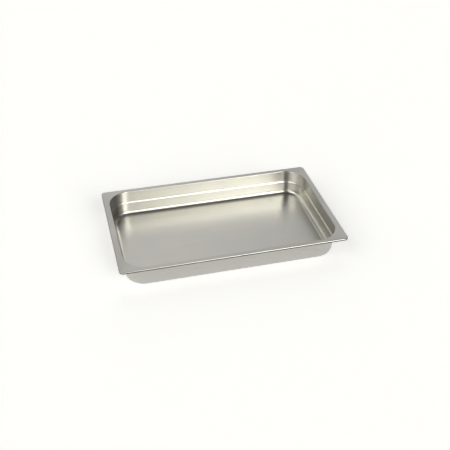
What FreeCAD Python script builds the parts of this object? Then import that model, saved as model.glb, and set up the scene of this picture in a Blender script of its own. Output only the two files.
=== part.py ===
import FreeCAD, Part
import math
import os
import Sketcher

# A full-size deli food pan, pressed from one sheet of stainless steel.
# X runs along the 530 mm length, Y across the 325 mm width and Z up.
# The origin is the centre of the flat underside, so the pan stands on z = 0.
# Every ring below is the inside face of the sheet; the outside face lies one
# sheet thickness away from it.

DIMENSIONS = [
    # the rim, seen from above
    ("rim_length", 530.0),
    ("rim_width", 325.0),
    ("rim_corner", 10.0),
    ("depth", 61.5),
    ("sheet", 0.8),
    # the lip turned down all round the rim
    ("lip_drop", 4.2),
    ("lip_bend", 2.0),
    # the mouth: flange widths at the ends and along the sides
    ("end_flange", 14.6),
    ("side_flange", 12.0),
    ("mouth_corner", 50.0),
    ("mouth_bend", 2.0),
    # the stacking shoulder, part way down the wall
    ("shoulder_top", 32.7),
    ("shoulder_foot", 29.9),
    ("end_step", 2.0),
    ("side_step", 2.2),
    ("shoulder_bend", 4.0),
    # how far each stretch of wall leans in on its way down
    ("end_upper_lean", 1.0),
    ("side_upper_lean", 2.2),
    ("end_lower_lean", 2.6),
    ("side_lower_lean", 3.6),
    # the floor and the big bend round it
    ("corner_taper", 2.5),
    ("floor_bend", 11.2),
]


def write_spreadsheet(doc):
    """Put the driving dimensions in a sheet that the features refer to."""
    sheet = doc.addObject("Spreadsheet::Sheet", "Dims")
    for row, (name, value) in enumerate(DIMENSIONS, start=1):
        sheet.set(f"A{row}", name)
        sheet.set(f"B{row}", str(value))
        sheet.setAlias(f"B{row}", name)
    doc.recompute()
    return sheet


def origin_plane(body, role):
    """Find one of a body's own origin planes."""
    for feature in body.Origin.OriginFeatures:
        if feature.Role == role:
            return feature
    raise ValueError(role)


class Ring:
    """A rounded rectangle round the pan, given by expressions on the sheet."""

    def __init__(self, height, end_inset, side_inset, corner):
        self.height = height
        self.end_inset = end_inset
        self.side_inset = side_inset
        self.corner = corner

    def grown(self, amount, drop="0"):
        """The same ring, moved outwards by an amount and down by a drop."""
        return Ring(
            f"{self.height} - {drop}",
            f"({self.end_inset}) - {amount}",
            f"({self.side_inset}) - {amount}",
            f"({self.corner}) + {amount}",
        )


def ring_sketch(body, name, ring):
    """Draw a ring as a fully constrained sketch at its own height."""
    sketch = body.newObject("Sketcher::SketchObject", name)
    sketch.AttachmentSupport = [(origin_plane(body, "XY_Plane"), "")]
    sketch.MapMode = "FlatFace"
    sketch.setExpression("AttachmentOffset.Base.z", ring.height)

    # a first guess at the shape, which the constraints then pull to size
    half_x, half_y, radius = 240.0, 140.0, 30.0
    in_x, in_y = half_x - radius, half_y - radius
    up = FreeCAD.Vector(0, 0, 1)

    def line(x0, y0, x1, y1):
        sketch.addGeometry(Part.LineSegment(FreeCAD.Vector(x0, y0), FreeCAD.Vector(x1, y1)))

    def corner_arc(x, y, quarter):
        circle = Part.Circle(FreeCAD.Vector(x, y), up, radius)
        start = quarter * math.pi / 2
        sketch.addGeometry(Part.ArcOfCircle(circle, start, start + math.pi / 2))

    line(-in_x, -half_y, in_x, -half_y)
    line(half_x, -in_y, half_x, in_y)
    line(in_x, half_y, -in_x, half_y)
    line(-half_x, in_y, -half_x, -in_y)
    corner_arc(in_x, -in_y, -1)
    corner_arc(in_x, in_y, 0)
    corner_arc(-in_x, in_y, 1)
    corner_arc(-in_x, -in_y, 2)

    front, right, back, left = range(4)
    arcs = range(4, 8)
    start, end, centre = 1, 2, 3
    sides = [front, right, back, left]
    for index, arc in enumerate(arcs):
        following = sides[(index + 1) % 4]
        sketch.addConstraint(Sketcher.Constraint("Tangent", sides[index], end, arc, start))
        sketch.addConstraint(Sketcher.Constraint("Tangent", arc, end, following, start))
    for side in (front, back):
        sketch.addConstraint(Sketcher.Constraint("Horizontal", side))
    for side in (right, left):
        sketch.addConstraint(Sketcher.Constraint("Vertical", side))
    for arc in (5, 6, 7):
        sketch.addConstraint(Sketcher.Constraint("Equal", 4, arc))
    sketch.addConstraint(Sketcher.Constraint("Symmetric", 4, centre, 6, centre, -1, 1))

    def drive(constraint, label, expression):
        index = sketch.addConstraint(constraint)
        sketch.renameConstraint(index, label)
        sketch.setExpression(f"Constraints.{label}", expression)

    drive(
        Sketcher.Constraint("DistanceX", left, start, right, start, 2 * half_x),
        "span_x",
        f"Dims.rim_length - 2 * ({ring.end_inset})",
    )
    drive(
        Sketcher.Constraint("DistanceY", front, start, back, start, 2 * half_y),
        "span_y",
        f"Dims.rim_width - 2 * ({ring.side_inset})",
    )
    drive(Sketcher.Constraint("Radius", 4, radius), "corner", ring.corner)
    return sketch


def edges_at(feature, wanted):
    """Names of a feature's edges that a test accepts."""
    names = []
    for number, edge in enumerate(feature.Shape.Edges, start=1):
        box = edge.BoundBox
        if box.ZMax - box.ZMin < 0.001 and wanted(box):
            names.append(f"Edge{number}")
    return names


def level_ring_edges(feature, ring_outline, tolerance=0.01):
    """Names of the edges that lie on one ring sketch."""
    wire = Part.Wire(Part.sortEdges(ring_outline.Shape.Edges)[0])
    height = ring_outline.Shape.BoundBox.ZMin
    names = []
    for name in edges_at(feature, lambda box: abs(box.ZMin - height) < tolerance):
        edge = feature.Shape.getElement(name)
        middle = edge.valueAt((edge.FirstParameter + edge.LastParameter) / 2)
        if wire.distToShape(Part.Vertex(middle))[0] < tolerance:
            names.append(name)
    return names


def pad_up(body, name, sketch, length):
    """Pad a sketch upwards by an expression."""
    pad = body.newObject("PartDesign::Pad", name)
    pad.Profile = sketch
    pad.setExpression("Length", length)
    return pad


def pocket_up(body, name, sketch, length):
    """Cut a sketch upwards into the body by an expression."""
    pocket = body.newObject("PartDesign::Pocket", name)
    pocket.Profile = sketch
    pocket.Reversed = True
    pocket.setExpression("Length", length)
    return pocket


def loft(body, kind, name, sketches):
    """A ruled loft through rings, from the floor to the top."""
    feature = body.newObject(f"PartDesign::{kind}", name)
    feature.Profile = sketches[0]
    feature.Sections = sketches[1:]
    feature.Ruled = True
    return feature


def round_edges(doc, body, name, base, edges, radius):
    """Round some edges of the feature before, with a radius from the sheet."""
    if not edges:
        raise RuntimeError(f"{name}: no edges to round")
    fillet = body.newObject("PartDesign::Fillet", name)
    fillet.Base = (base, edges)
    fillet.setExpression("Radius", radius)
    doc.recompute()
    return fillet


def build_pan(doc, sheet):
    """The whole pan: rim, walls, shoulder and floor in one sheet."""
    body = doc.addObject("PartDesign::Body", "pan")
    body.Label = "pan"

    rim = Ring("Dims.depth - Dims.lip_drop", "0", "0", "Dims.rim_corner")
    mouth = Ring("Dims.depth", "Dims.end_flange", "Dims.side_flange", "Dims.mouth_corner")
    shoulder_top = Ring(
        "Dims.shoulder_top",
        "Dims.end_flange + Dims.end_upper_lean",
        "Dims.side_flange + Dims.side_upper_lean",
        "Dims.mouth_corner - Dims.corner_taper",
    )
    shoulder_foot = Ring(
        "Dims.shoulder_foot",
        f"{shoulder_top.end_inset} + Dims.end_step",
        f"{shoulder_top.side_inset} + Dims.side_step",
        f"{shoulder_top.corner} - Dims.corner_taper",
    )
    floor = Ring(
        "Dims.sheet",
        f"{shoulder_foot.end_inset} + Dims.end_lower_lean",
        f"{shoulder_foot.side_inset} + Dims.side_lower_lean",
        f"{shoulder_foot.corner} - Dims.corner_taper",
    )

    # the rim: a plate with its outer edge rolled over, hollow underneath
    rim_sketch = ring_sketch(body, "RimOutline", rim)
    plate = pad_up(body, "RimPlate", rim_sketch, "Dims.lip_drop")
    hollow_sketch = ring_sketch(body, "RimHollowOutline", rim.grown("(-Dims.sheet)"))
    hollow = pocket_up(body, "RimHollow", hollow_sketch, "Dims.lip_drop - Dims.sheet")
    doc.recompute()
    depth = float(sheet.depth)
    outer_edges = edges_at(hollow, lambda box: abs(box.ZMax - depth) < 0.001)
    rolled = round_edges(doc, body, "LipBend", hollow, outer_edges, "Dims.lip_bend")
    under = depth - float(sheet.sheet)
    inner_edges = edges_at(rolled, lambda box: abs(box.ZMax - under) < 0.001)
    rolled = round_edges(
        doc, body, "LipBendInside", rolled, inner_edges, "Dims.lip_bend - Dims.sheet"
    )

    # the tub under the plate, and the cavity that leaves one sheet thickness
    outside_drop = (
        "Dims.sheet * tan(atan(Dims.side_step"
        " / (Dims.shoulder_top - Dims.shoulder_foot)) / 2)"
    )
    rings = {
        "Floor": (floor, floor.grown("Dims.sheet", "Dims.sheet")),
        "ShoulderFoot": (shoulder_foot, shoulder_foot.grown("Dims.sheet", outside_drop)),
        "ShoulderTop": (shoulder_top, shoulder_top.grown("Dims.sheet", outside_drop)),
        "Mouth": (mouth, mouth.grown("Dims.sheet", "Dims.sheet")),
    }
    inside = {}
    outside = {}
    for name, (inner_ring, outer_ring) in rings.items():
        inside[name] = ring_sketch(body, name + "Inside", inner_ring)
        outside[name] = ring_sketch(body, name + "Outside", outer_ring)
    loft(body, "AdditiveLoft", "Tub", list(outside.values()))
    doc.recompute()
    last = loft(body, "SubtractiveLoft", "Cavity", list(inside.values()))
    doc.recompute()

    # the bends: at each one the side that gains metal is rounded first
    small, large = "Dims.shoulder_bend", "Dims.shoulder_bend + Dims.sheet"
    for name, sketch, radius in (
        ("FloorBendInside", inside["Floor"], "Dims.floor_bend"),
        ("FloorBendOutside", outside["Floor"], "Dims.floor_bend + Dims.sheet"),
        ("ShoulderFootBendOutside", outside["ShoulderFoot"], small),
        ("ShoulderFootBendInside", inside["ShoulderFoot"], large),
        ("ShoulderTopBendInside", inside["ShoulderTop"], small),
        ("ShoulderTopBendOutside", outside["ShoulderTop"], large),
        ("MouthBendOutside", outside["Mouth"], "Dims.mouth_bend - Dims.sheet"),
        ("MouthBendInside", inside["Mouth"], "Dims.mouth_bend"),
    ):
        edges = level_ring_edges(last, sketch)
        last = round_edges(doc, body, name, last, edges, radius)
    return body


def check(doc, bodies):
    """Stop if any feature failed or any sub-part isn't a sound solid."""
    for item in doc.Objects:
        if "Invalid" in item.State or "Error" in item.State:
            raise RuntimeError(f"{item.Label} failed: {item.State}")
    for body in bodies:
        shape = body.Shape
        if shape.isNull() or not shape.isValid() or len(shape.Solids) != 1:
            raise RuntimeError(f"{body.Label} isn't one valid solid")


def main():
    os.makedirs("parts", exist_ok=True)
    doc = FreeCAD.newDocument("food_pan")
    sheet = write_spreadsheet(doc)
    bodies = [build_pan(doc, sheet)]
    doc.recompute()
    check(doc, bodies)
    for body in bodies:
        body.Shape.exportStep(f"parts/{body.Label}.step")
        print(f"{body.Label}: {body.Shape.Volume / 1000:.1f} cm3 of steel")


main()
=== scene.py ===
import math

import bmesh
import bpy
from mathutils import Matrix, Vector, noise


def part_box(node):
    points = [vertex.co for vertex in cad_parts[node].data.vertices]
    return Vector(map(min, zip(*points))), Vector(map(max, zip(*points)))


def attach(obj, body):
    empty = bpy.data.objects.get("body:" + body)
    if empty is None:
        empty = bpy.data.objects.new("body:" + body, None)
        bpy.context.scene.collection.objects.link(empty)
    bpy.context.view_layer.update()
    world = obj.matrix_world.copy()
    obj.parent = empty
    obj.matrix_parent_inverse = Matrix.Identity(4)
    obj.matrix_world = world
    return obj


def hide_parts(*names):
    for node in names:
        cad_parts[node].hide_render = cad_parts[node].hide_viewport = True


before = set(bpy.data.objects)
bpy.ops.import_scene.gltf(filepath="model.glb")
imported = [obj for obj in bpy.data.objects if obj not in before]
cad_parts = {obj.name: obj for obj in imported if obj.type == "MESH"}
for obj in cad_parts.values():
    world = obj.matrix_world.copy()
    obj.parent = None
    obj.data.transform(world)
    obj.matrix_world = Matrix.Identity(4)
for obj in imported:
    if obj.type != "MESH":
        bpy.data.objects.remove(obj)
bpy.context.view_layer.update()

# ---------------------------------------------------------------- sizes, in metres
MM = 0.001
low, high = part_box("pan")
LENGTH = high.x - low.x
WIDTH = high.y - low.y
DEPTH = 61.5 * MM
SHEET = 0.8 * MM

LIP_DROP = 4.2 * MM
LIP_BEND = 2.0 * MM
RIM_CORNER = 10.0 * MM
END_FLANGE = 14.6 * MM
SIDE_FLANGE = 12.0 * MM
MOUTH_CORNER = 50.0 * MM
MOUTH_BEND = 2.0 * MM
SHOULDER_TOP = 32.7 * MM
SHOULDER_FOOT = 29.9 * MM
END_STEP = 2.0 * MM
SIDE_STEP = 2.2 * MM
SHOULDER_BEND = 4.0 * MM
END_UPPER_LEAN = 1.0 * MM
SIDE_UPPER_LEAN = 2.2 * MM
END_LOWER_LEAN = 2.6 * MM
SIDE_LOWER_LEAN = 3.6 * MM
CORNER_TAPER = 2.5 * MM
FLOOR_BEND = 11.2 * MM

# ---------------------------------------------------------------- finish
# The pan is one sheet; its faces are set apart by painted shade: the food side is lightest, the
# flat rim lies half way, the outside is darker, and the lip's lower band is painted darkest.
OUTSIDE_SHARE = 0.75
RIM_TONE = 0.5
RIM_TONE_DEPTH = 0.4 * MM
BAND_HEIGHT = 3.0 * MM
BAND_FADE = 1.2 * MM
BAND_STATIONS = 8
ROUGHNESS = 0.308
ROUGHNESS_SPREAD = 0.01
BAND_ROUGHNESS = 0.15
RUBBED_POLISH = 0.01
RUBBED_SHARE = 0.5
SCRATCH_SHARE = 0.05
ANISOTROPY = 0.4
GRAIN_TURN = 0.25
FINE_GRAIN_DEPTH = 0.02 * MM
FINE_GRAIN_STRENGTH = 0.12
BROAD_GRAIN_DEPTH = 0.1 * MM
BROAD_GRAIN_STRENGTH = 0.05
FLOOR_UNEVENNESS = 0.05 * MM
WALL_BULGE = 0.10 * MM
STEEL_WARM = (0.66, 0.645, 0.605, 1)
STEEL_COOL = (0.63, 0.625, 0.60, 1)
STEEL_DARK = (0.48, 0.47, 0.44, 1)
# painted shade for the lip's lower band
LIP_PAINTED_SHADE = (0.10, 0.098, 0.09, 1)
# painted shade for the outside
OUTSIDE_PAINTED_SHADE = (0.44, 0.435, 0.42, 1)
STEEL_BRIGHT = (0.72, 0.71, 0.67, 1)


# ---------------------------------------------------------------- the pan's section
# A station is one point of the section: how far it lies inside the rim's edge at the
# ends and at the sides, its height, the plan radius of the corner there, and the
# direction of the sheet's face (inwards and up) at the ends and at the sides.

class Station:
    def __init__(self, end, side, z_end, z_side, corner, n_end, n_side, bend=0.0):
        self.end = end
        self.side = side
        self.z_end = z_end
        self.z_side = z_side
        self.corner = corner
        self.n_end = n_end
        self.n_side = n_side
        self.bend = bend

    def offset(self, amount):
        """The same station, moved along the face's direction."""
        spread = 0.5 * (self.n_end[0] + self.n_side[0])
        return Station(
            self.end + amount * self.n_end[0],
            self.side + amount * self.n_side[0],
            self.z_end + amount * self.n_end[1],
            self.z_side + amount * self.n_side[1],
            self.corner - amount * spread,
            self.n_end,
            self.n_side,
            self.bend,
        )


def unit(x, y):
    size = math.hypot(x, y)
    return (x / size, y / size)


def left_of(direction):
    return (-direction[1], direction[0])


def bend_points(before, vertex, after, radius, steps):
    """Points and face directions round one bend, in a plane of inset and height."""
    d0 = unit(vertex[0] - before[0], vertex[1] - before[1])
    d1 = unit(after[0] - vertex[0], after[1] - vertex[1])
    turn = math.atan2(d0[0] * d1[1] - d0[1] * d1[0], d0[0] * d1[0] + d0[1] * d1[1])
    reach = radius * math.tan(abs(turn) / 2)
    start = (vertex[0] - d0[0] * reach, vertex[1] - d0[1] * reach)
    sign = 1.0 if turn > 0 else -1.0
    n0 = left_of(d0)
    centre = (start[0] + sign * radius * n0[0], start[1] + sign * radius * n0[1])
    points = []
    for step in range(steps + 1):
        angle = turn * step / steps
        c, s = math.cos(angle), math.sin(angle)
        n = (n0[0] * c - n0[1] * s, n0[0] * s + n0[1] * c)
        points.append(((centre[0] - sign * radius * n[0], centre[1] - sign * radius * n[1]), n))
    return points


# end inset, side inset, height, corner radius, bend radius, steps round the bend
END_TOP = END_FLANGE + END_UPPER_LEAN
SIDE_TOP = SIDE_FLANGE + SIDE_UPPER_LEAN
END_FOOT = END_TOP + END_STEP
SIDE_FOOT = SIDE_TOP + SIDE_STEP
VERTICES = [
    (0.0, 0.0, DEPTH - LIP_DROP, RIM_CORNER, 0.0, 0),
    (0.0, 0.0, DEPTH, RIM_CORNER, LIP_BEND, 10),
    (END_FLANGE, SIDE_FLANGE, DEPTH, MOUTH_CORNER, MOUTH_BEND, 14),
    (END_TOP, SIDE_TOP, SHOULDER_TOP, MOUTH_CORNER - CORNER_TAPER, SHOULDER_BEND, 8),
    (END_FOOT, SIDE_FOOT, SHOULDER_FOOT, MOUTH_CORNER - 2 * CORNER_TAPER,
     SHOULDER_BEND + SHEET, 8),
    (END_FOOT + END_LOWER_LEAN, SIDE_FOOT + SIDE_LOWER_LEAN, SHEET,
     MOUTH_CORNER - 3 * CORNER_TAPER, FLOOR_BEND, 22),
    (WIDTH / 2, WIDTH / 2, SHEET, 0.0, 0.0, 0),
]


def section():
    """Stations along the sheet's upper face, from the lip's edge to the floor."""
    stations = []
    first = VERTICES[0]
    outward = (-1.0, 0.0)
    stations.append(Station(first[0], first[1], first[2], first[2], first[3], outward, outward))
    for index in range(1, len(VERTICES) - 1):
        a, v, b = VERTICES[index - 1], VERTICES[index], VERTICES[index + 1]
        radius, steps = v[4], v[5]
        ends = bend_points((a[0], a[2]), (v[0], v[2]), (b[0], b[2]), radius, steps)
        sides = bend_points((a[1], a[2]), (v[1], v[2]), (b[1], b[2]), radius, steps)
        for (pe, ne), (ps, ns) in zip(ends, sides):
            inward = 0.5 * ((pe[0] - v[0]) + (ps[0] - v[1]))
            stations.append(Station(pe[0], ps[0], pe[1], ps[1], v[3] - inward, ne, ns, 1.0))
    return stations


def between(a, b, t):
    """A station part of the way along a straight run."""
    def mix(p, q):
        return p + (q - p) * t

    def pair(p, q):
        return (mix(p[0], q[0]), mix(p[1], q[1]))

    return Station(mix(a.end, b.end), mix(a.side, b.side), mix(a.z_end, b.z_end),
                   mix(a.z_side, b.z_side), mix(a.corner, b.corner),
                   pair(a.n_end, b.n_end), pair(a.n_side, b.n_side), 0.0)


def refine(stations, longest, guard):
    """Add stations along the straight runs, with one close to each bend."""
    result = [stations[0]]
    for a, b in zip(stations, stations[1:]):
        run = run_length(a, b)
        if run > 2.5 * guard and (a.bend == 0.0 or b.bend == 0.0 or run > 1.5 * MM):
            inner = [guard / run]
            count = max(1, round((run - 2 * guard) / longest))
            for step in range(1, count):
                inner.append((guard + (run - 2 * guard) * step / count) / run)
            inner.append(1.0 - guard / run)
            result.extend(between(a, b, t) for t in inner)
        result.append(b)
    return result


ARC_STEPS = 20
LONG_STEPS = 56
SHORT_STEPS = 30
LIP_RINGS = 4
EDGE_STEPS = 6
LONGEST_RUN = 5.0 * MM
BEND_GUARD = 0.4 * MM
SMALLEST_CORNER = 0.2 * MM
FLOOR_STEP = 6.0 * MM
FLOOR_CORNER = 3.0 * MM
FLOOR_MARGIN = 4.0 * MM
FLOOR_EASE = 30.0 * MM


def plan_ring(end, side, corner):
    """Plan points of one ring, anticlockwise from the front right corner.

    Each entry is x, y, the outward direction and how much of a side wall it is:
    0 on an end wall, 1 on a long wall and between the two round a corner.
    """
    r = max(corner, SMALLEST_CORNER)
    half_x = LENGTH / 2 - end
    half_y = WIDTH / 2 - side
    cx, cy = half_x - r, half_y - r
    points = []

    def arc(x, y, start):
        for step in range(ARC_STEPS + 1):
            angle = start + 0.5 * math.pi * step / ARC_STEPS
            c, s = math.cos(angle), math.sin(angle)
            points.append((x + r * c, y + r * s, c, s, s * s))

    def straight(x0, y0, x1, y1, steps, c, s):
        for step in range(1, steps):
            t = step / steps
            points.append((x0 + (x1 - x0) * t, y0 + (y1 - y0) * t, c, s, s * s))

    arc(cx, -cy, -0.5 * math.pi)
    straight(half_x, -cy, half_x, cy, SHORT_STEPS, 1.0, 0.0)
    arc(cx, cy, 0.0)
    straight(cx, half_y, -cx, half_y, LONG_STEPS, 0.0, 1.0)
    arc(-cx, cy, 0.5 * math.pi)
    straight(-half_x, cy, -half_x, -cy, SHORT_STEPS, -1.0, 0.0)
    arc(-cx, -cy, math.pi)
    straight(-cx, -half_y, cx, -half_y, LONG_STEPS, 0.0, -1.0)
    return points


def floor_rings(last):
    """Rings from the end of the floor's bend towards the middle of the floor."""
    rings = []
    reach = WIDTH / 2 - last.side
    inset = BEND_GUARD
    flat = (0.0, 1.0)
    while inset < reach - FLOOR_MARGIN:
        corner = max(last.corner - inset, FLOOR_CORNER)
        rings.append(Station(last.end + inset, last.side + inset, last.z_end, last.z_side,
                             corner, flat, flat))
        inset += FLOOR_STEP
    return rings


def lip_edge(first):
    """Stations round the ground edge of the lip, from its inside to its outside."""
    radius = SHEET / 2
    down = (0.0, -1.0)
    stations = []
    for step in range(1, EDGE_STEPS):
        angle = math.pi * step / EDGE_STEPS
        inset = radius * (1 + math.cos(angle))
        height = first.z_end - radius * math.sin(angle)
        stations.append(Station(inset, inset, height, height, first.corner - inset,
                                down, down))
    return stations


def unevenness(x, y, way):
    """How far the pressed sheet strays from its true face, smooth and slow, about -1 to 1."""
    here = Vector((x * 9.0, y * 9.0, way))
    return noise.noise(here) + 0.5 * noise.noise(here * 2.3)


def run_length(a, b):
    """The distance along the sheet from one station to the next."""
    return math.hypot(0.5 * (b.end + b.side - a.end - a.side), b.z_end - a.z_end)


def travel_to_floor(upper, edge_of_floor):
    """How far along the sheet each station is from the edge of the floor."""
    travel = [0.0] * len(upper)
    for index in range(edge_of_floor - 1, -1, -1):
        travel[index] = travel[index + 1] + run_length(upper[index], upper[index + 1])
    return travel


def close_floor(bm, ring, flip):
    """The middle of the floor is a strip: its front and back points are joined."""
    count = len(ring)
    turn = 2 * ARC_STEPS + SHORT_STEPS
    right_end = range(ARC_STEPS - 1, ARC_STEPS + SHORT_STEPS + 2)
    half_way = turn + LONG_STEPS
    strips = [(i, i + 1, turn - i - 1, turn - i)
              for i in range(1 - LONG_STEPS - ARC_STEPS, ARC_STEPS - 1)]
    strips += [list(right_end), [half_way + i for i in right_end]]
    for strip in strips:
        corners = [ring[k % count] for k in strip]
        bm.faces.new(corners[::-1] if flip else corners)


def build_mesh(name):
    """The whole sheet as one closed skin, ring by ring along its section."""
    upper = refine(section(), LONGEST_RUN, BEND_GUARD)
    edge_of_floor = len(upper) - 1
    upper += floor_rings(upper[-1])
    lower = [s.offset(-SHEET) for s in upper]
    loop = upper[::-1] + lip_edge(upper[0])[::-1] + lower
    middle = len(upper) - 1

    travel = travel_to_floor(upper, edge_of_floor)
    floor_edge = plan_ring(upper[edge_of_floor].end, upper[edge_of_floor].side,
                           upper[edge_of_floor].corner)

    mesh = bpy.data.meshes.new(name)
    bm = bmesh.new()
    blank = bm.loops.layers.uv.new("blank")
    wear = bm.verts.layers.float.new("wear")
    outer_painted_shade = bm.verts.layers.float.new("outer_painted_shade")
    lip_shade = bm.verts.layers.float.new("lip_painted_shade")
    flat_place = {}
    rings = []
    for number, station in enumerate(loop):
        if number <= middle:
            index = middle - number
        elif number < len(loop) - len(lower):
            index = 0
        else:
            index = number - (len(loop) - len(lower))
        ring = []
        for place, point in enumerate(plan_ring(station.end, station.side, station.corner)):
            x, y, out_x, out_y, sideness = point
            z = station.z_end * (1 - sideness) + station.z_side * sideness
            depth_share = min(1.0, max(0.0, (DEPTH - z) / DEPTH))
            if index > edge_of_floor:
                inwards = min(1.0, (upper[index].side - upper[edge_of_floor].side) / FLOOR_EASE)
                z += FLOOR_UNEVENNESS * inwards * (1.0 + unevenness(x, y, 0.0))
                flat_place_here = (x, y)
            else:
                bulge = WALL_BULGE * math.sin(math.pi * depth_share)
                bulge *= min(1.0, max(0.0, station.side - SHEET) / SIDE_FLANGE)
                bulge *= unevenness(x, y, 5.0 + 6.0 * z)
                x += out_x * bulge
                y += out_y * bulge
                edge = floor_edge[place]
                flat_place_here = (edge[0] + out_x * travel[index], edge[1] + out_y * travel[index])
            vert = bm.verts.new((x, y, z))
            vert[wear] = station.bend
            # the outside and the flat rim are masked for painted shade
            if number > middle - LIP_RINGS:
                vert[outer_painted_shade] = 1.0
            elif z > DEPTH - RIM_TONE_DEPTH:
                vert[outer_painted_shade] = RIM_TONE
            # the lip's lower band is masked for its painted shade
            below = (DEPTH - LIP_DROP + BAND_HEIGHT - z) / BAND_FADE
            on_band = index <= BAND_STATIONS and station.end < SHEET
            vert[lip_shade] = min(1.0, max(0.0, below)) if on_band else 0.0
            flat_place[vert] = flat_place_here
            ring.append(vert)
        rings.append(ring)
    count = len(rings[0])

    for a, b in zip(rings, rings[1:]):
        for i in range(count):
            j = (i + 1) % count
            bm.faces.new([a[i], b[i], b[j], a[j]])

    close_floor(bm, rings[0], False)
    close_floor(bm, rings[-1], True)

    for face in bm.faces:
        face.smooth = True
        for corner in face.loops:
            corner[blank].uv = flat_place[corner.vert]
    bm.to_mesh(mesh)
    bm.free()
    obj = bpy.data.objects.new(name, mesh)
    bpy.context.scene.collection.objects.link(obj)
    return obj


class Nodes:
    """Short ways to add shader nodes to one material."""

    def __init__(self, name):
        self.material = bpy.data.materials.new(name)
        self.material.use_nodes = True
        self.tree = self.material.node_tree
        self.bsdf = self.tree.nodes["Principled BSDF"]

    def add(self, kind):
        return self.tree.nodes.new(kind)

    def link(self, source, target):
        self.tree.links.new(source, target)

    def scaled(self, vector, x, y, z=1.0):
        node = self.add("ShaderNodeVectorMath")
        node.operation = "MULTIPLY"
        self.link(vector, node.inputs[0])
        node.inputs[1].default_value = (x, y, z)
        return node.outputs["Vector"]

    def noise(self, vector, scale, detail=3.0, roughness=0.5):
        node = self.add("ShaderNodeTexNoise")
        self.link(vector, node.inputs["Vector"])
        node.inputs["Scale"].default_value = scale
        node.inputs["Detail"].default_value = detail
        node.inputs["Roughness"].default_value = roughness
        return node.outputs["Fac"]

    def remap(self, value, from_low, from_high, to_low, to_high):
        node = self.add("ShaderNodeMapRange")
        self.link(value, node.inputs["Value"])
        node.inputs["From Min"].default_value = from_low
        node.inputs["From Max"].default_value = from_high
        node.inputs["To Min"].default_value = to_low
        node.inputs["To Max"].default_value = to_high
        return node.outputs["Result"]

    def math(self, operation, a, b):
        node = self.add("ShaderNodeMath")
        node.operation = operation
        for socket, value in zip(node.inputs, (a, b)):
            if isinstance(value, float):
                socket.default_value = value
            else:
                self.link(value, socket)
        return node.outputs["Value"]

    def mix(self, factor, a, b):
        node = self.add("ShaderNodeMix")
        node.data_type = "RGBA"
        self.link(factor, node.inputs["Factor"])
        for socket, value in ((node.inputs["A"], a), (node.inputs["B"], b)):
            if isinstance(value, tuple):
                socket.default_value = value
            else:
                self.link(value, socket)
        return node.outputs["Result"]

    def bump(self, height, distance, strength, normal=None):
        node = self.add("ShaderNodeBump")
        node.inputs["Distance"].default_value = distance
        node.inputs["Strength"].default_value = strength
        self.link(height, node.inputs["Height"])
        if normal is not None:
            self.link(normal, node.inputs["Normal"])
        return node.outputs["Normal"]


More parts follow.
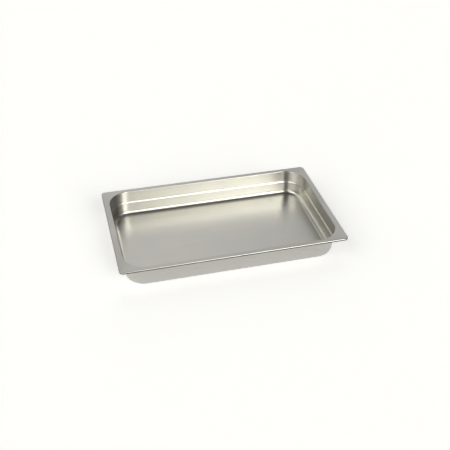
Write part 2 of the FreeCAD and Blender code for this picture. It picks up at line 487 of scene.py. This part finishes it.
def steel():
    """Satin stainless steel: rolled grain along the sheet, faint handling marks."""
    m = Nodes("satin_steel")
    sheet = m.add("ShaderNodeUVMap")
    sheet.uv_map = "blank"
    uv = sheet.outputs["UV"]
    metres = m.add("ShaderNodeTexCoord").outputs["Object"]

    # grain runs along the length of the blank, so noise is drawn out that way
    fine_grain = m.noise(m.scaled(uv, 14.0, 1500.0), 1.0, 2.0)
    broad_grain = m.noise(m.scaled(uv, 5.0, 240.0), 1.0, 3.0)
    clouds = m.noise(metres, 14.0, 4.0)
    smudges = m.noise(metres, 34.0, 5.0, 0.6)

    # scratches: thin bright or dull lines at a slight angle to the grain
    wave = m.noise(m.scaled(uv, 60.0, 900.0), 1.0, 1.0)
    scratches = m.remap(wave, 0.70, 0.76, 0.0, 1.0)

    # every bend is rubbed a little brighter, unevenly
    worn = m.add("ShaderNodeAttribute")
    worn.attribute_name = "wear"
    rubbed = m.math("MULTIPLY", worn.outputs["Fac"], m.remap(smudges, 0.35, 0.65, 0.3, 1.0))

    tone = m.mix(m.remap(clouds, 0.30, 0.70, 0.0, 1.0), STEEL_WARM, STEEL_COOL)
    tone = m.mix(m.remap(broad_grain, 0.35, 0.65, 0.0, 0.10), tone, STEEL_DARK)
    tone = m.mix(m.math("MULTIPLY", scratches, SCRATCH_SHARE), tone, STEEL_DARK)
    tone = m.mix(m.math("MULTIPLY", rubbed, RUBBED_SHARE), tone, STEEL_BRIGHT)
    # painted shade: the outside is darkened most, the flat rim half way to it
    outside = m.add("ShaderNodeAttribute")
    outside.attribute_name = "outer_painted_shade"
    tone = m.mix(m.math("MULTIPLY", outside.outputs["Fac"], OUTSIDE_SHARE), tone, OUTSIDE_PAINTED_SHADE)

    # painted shade: the lower band of the lip is painted dark, and made rougher
    lip_shade = m.add("ShaderNodeAttribute")
    lip_shade.attribute_name = "lip_painted_shade"
    lip_shade_band = lip_shade.outputs["Fac"]
    tone = m.mix(lip_shade_band, tone, LIP_PAINTED_SHADE)
    m.link(tone, m.bsdf.inputs["Base Color"])

    spread = ROUGHNESS_SPREAD
    rough = m.remap(clouds, 0.30, 0.70, ROUGHNESS - spread, ROUGHNESS + spread)
    rough = m.math("ADD", rough, m.remap(broad_grain, 0.30, 0.70, -spread, spread))
    rough = m.math("ADD", rough, m.math("MULTIPLY", scratches, SCRATCH_SHARE))
    rough = m.math("SUBTRACT", rough, m.math("MULTIPLY", rubbed, RUBBED_POLISH))
    rough = m.math("ADD", rough, m.math("MULTIPLY", lip_shade_band, BAND_ROUGHNESS))
    m.link(rough, m.bsdf.inputs["Roughness"])

    normal = m.bump(fine_grain, FINE_GRAIN_DEPTH, FINE_GRAIN_STRENGTH)
    normal = m.bump(broad_grain, BROAD_GRAIN_DEPTH, BROAD_GRAIN_STRENGTH, normal)
    m.link(normal, m.bsdf.inputs["Normal"])

    tangent = m.add("ShaderNodeTangent")
    tangent.direction_type = "UV_MAP"
    tangent.uv_map = "blank"
    m.link(tangent.outputs["Tangent"], m.bsdf.inputs["Tangent"])
    m.bsdf.inputs["Metallic"].default_value = 1.0
    m.bsdf.inputs["Anisotropic"].default_value = ANISOTROPY
    m.bsdf.inputs["Anisotropic Rotation"].default_value = GRAIN_TURN
    return m.material


# a wide pale floor that glows a little, so that it stays even
FLOOR_SIZE = 80.0
FLOOR_GLOW = 0.46
FLOOR_PALE = (0.9, 0.9, 0.9, 1)
FLOOR_ROUGHNESS = 0.9


def pale_floor():
    bpy.ops.mesh.primitive_plane_add(size=FLOOR_SIZE, location=(0, 0, 0))
    floor = bpy.context.object
    floor.name = "studio_floor"
    mat = bpy.data.materials.new("pale_floor")
    mat.use_nodes = True
    bsdf = mat.node_tree.nodes["Principled BSDF"]
    bsdf.inputs["Base Color"].default_value = FLOOR_PALE
    bsdf.inputs["Roughness"].default_value = FLOOR_ROUGHNESS
    bsdf.inputs["Emission Color"].default_value = (1.0, 1.0, 1.0, 1)
    bsdf.inputs["Emission Strength"].default_value = FLOOR_GLOW
    floor.data.materials.append(mat)


# the camera's angles in degrees, the floor point it faces, its distance and its lens
CAMERA_AZIMUTH = -14.9
CAMERA_ELEVATION = 35.96
CAMERA_ROLL = 0.66
CAMERA_AIM = Vector((22.3, 37.9, 0.0)) * MM
CAMERA_DISTANCE = 1873.3 * MM
LENS_MM = 60.27
SENSOR_MM = 36.0


def camera():
    """A raised three-quarter view from the front, a little to the left."""
    data = bpy.data.cameras.new("camera")
    data.sensor_width = SENSOR_MM
    data.lens = LENS_MM
    cam = bpy.data.objects.new("camera", data)
    bpy.context.scene.collection.objects.link(cam)
    azimuth = math.radians(CAMERA_AZIMUTH)
    elevation = math.radians(CAMERA_ELEVATION)
    roll = math.radians(CAMERA_ROLL)
    back = Vector((
        math.sin(azimuth) * math.cos(elevation),
        -math.cos(azimuth) * math.cos(elevation),
        math.sin(elevation),
    ))
    level = Vector((math.cos(azimuth), math.sin(azimuth), 0))
    up = back.cross(level)
    right = level * math.cos(roll) + up * math.sin(roll)
    top = up * math.cos(roll) - level * math.sin(roll)
    matrix = Matrix((right, top, back)).transposed().to_4x4()
    matrix.translation = CAMERA_AIM + back * CAMERA_DISTANCE
    cam.matrix_world = matrix
    bpy.context.scene.camera = cam


pan = build_mesh("food_pan")
pan.data.materials.append(steel())
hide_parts("pan")
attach(pan, "root")
pale_floor()
camera()

# Softboxes far from the pan, as patches of light in the sky round it.
# azimuth (0 front, 90 right, 180 back), elevation, half width, soft edge, light, colour
WARM = (1.00, 0.99, 0.92)
WHITE = (1.00, 1.00, 0.98)
SOFTBOXES = [
    ("key", 22, 27, 13, 8, 4.5, WARM),
    ("key_top", 18, 44, 9, 8, 2.2, WARM),
    ("front_low", 14, 0, 12, 8, 1.4, WARM),
    ("front_right", 54, 32, 12, 8, 0.6, WARM),
    ("front_left", -36, 10, 9, 8, 2.8, WARM),
    ("left", -62, 38, 19, 8, 2.1, WARM),
    ("left_fill", -118, 32, 29, 8, 0.62, WARM),
    ("back", 166, 34, 20, 10, 0.64, WHITE),
    ("back_low", 180, 14, 12, 8, 0.8, WHITE),
    ("back_right", 144, 17, 8, 6, 1.0, WHITE),
    ("back_top", 168, 60, 9, 8, 0.9, WHITE),
]


def studio_world():
    """The softboxes, added up by the direction that is looked in."""
    world = bpy.data.worlds.new("studio")
    bpy.context.scene.world = world
    world.use_nodes = True
    tree = world.node_tree
    nodes, links = tree.nodes, tree.links
    direction = nodes.new("ShaderNodeTexCoord").outputs["Generated"]
    total = None
    for name, azimuth, elevation, half, soft, light, colour in SOFTBOXES:
        a, e = math.radians(azimuth), math.radians(elevation)
        facing = nodes.new("ShaderNodeVectorMath")
        facing.label = name
        facing.operation = "DOT_PRODUCT"
        links.new(direction, facing.inputs[0])
        facing.inputs[1].default_value = (
            math.sin(a) * math.cos(e), -math.cos(a) * math.cos(e), math.sin(e))
        patch = nodes.new("ShaderNodeMapRange")
        patch.interpolation_type = "SMOOTHSTEP"
        patch.inputs["From Min"].default_value = math.cos(math.radians(half + soft))
        patch.inputs["From Max"].default_value = math.cos(math.radians(max(half - soft, 0)))
        links.new(facing.outputs["Value"], patch.inputs["Value"])
        lit = nodes.new("ShaderNodeVectorMath")
        lit.operation = "SCALE"
        lit.inputs[0].default_value = tuple(light * c for c in colour)
        links.new(patch.outputs["Result"], lit.inputs["Scale"])
        if total is None:
            total = lit.outputs["Vector"]
        else:
            both = nodes.new("ShaderNodeVectorMath")
            both.operation = "ADD"
            links.new(total, both.inputs[0])
            links.new(lit.outputs["Vector"], both.inputs[1])
            total = both.outputs["Vector"]
    links.new(total, nodes["Background"].inputs["Color"])


studio_world()
bpy.context.scene.view_settings.view_transform = "Standard"
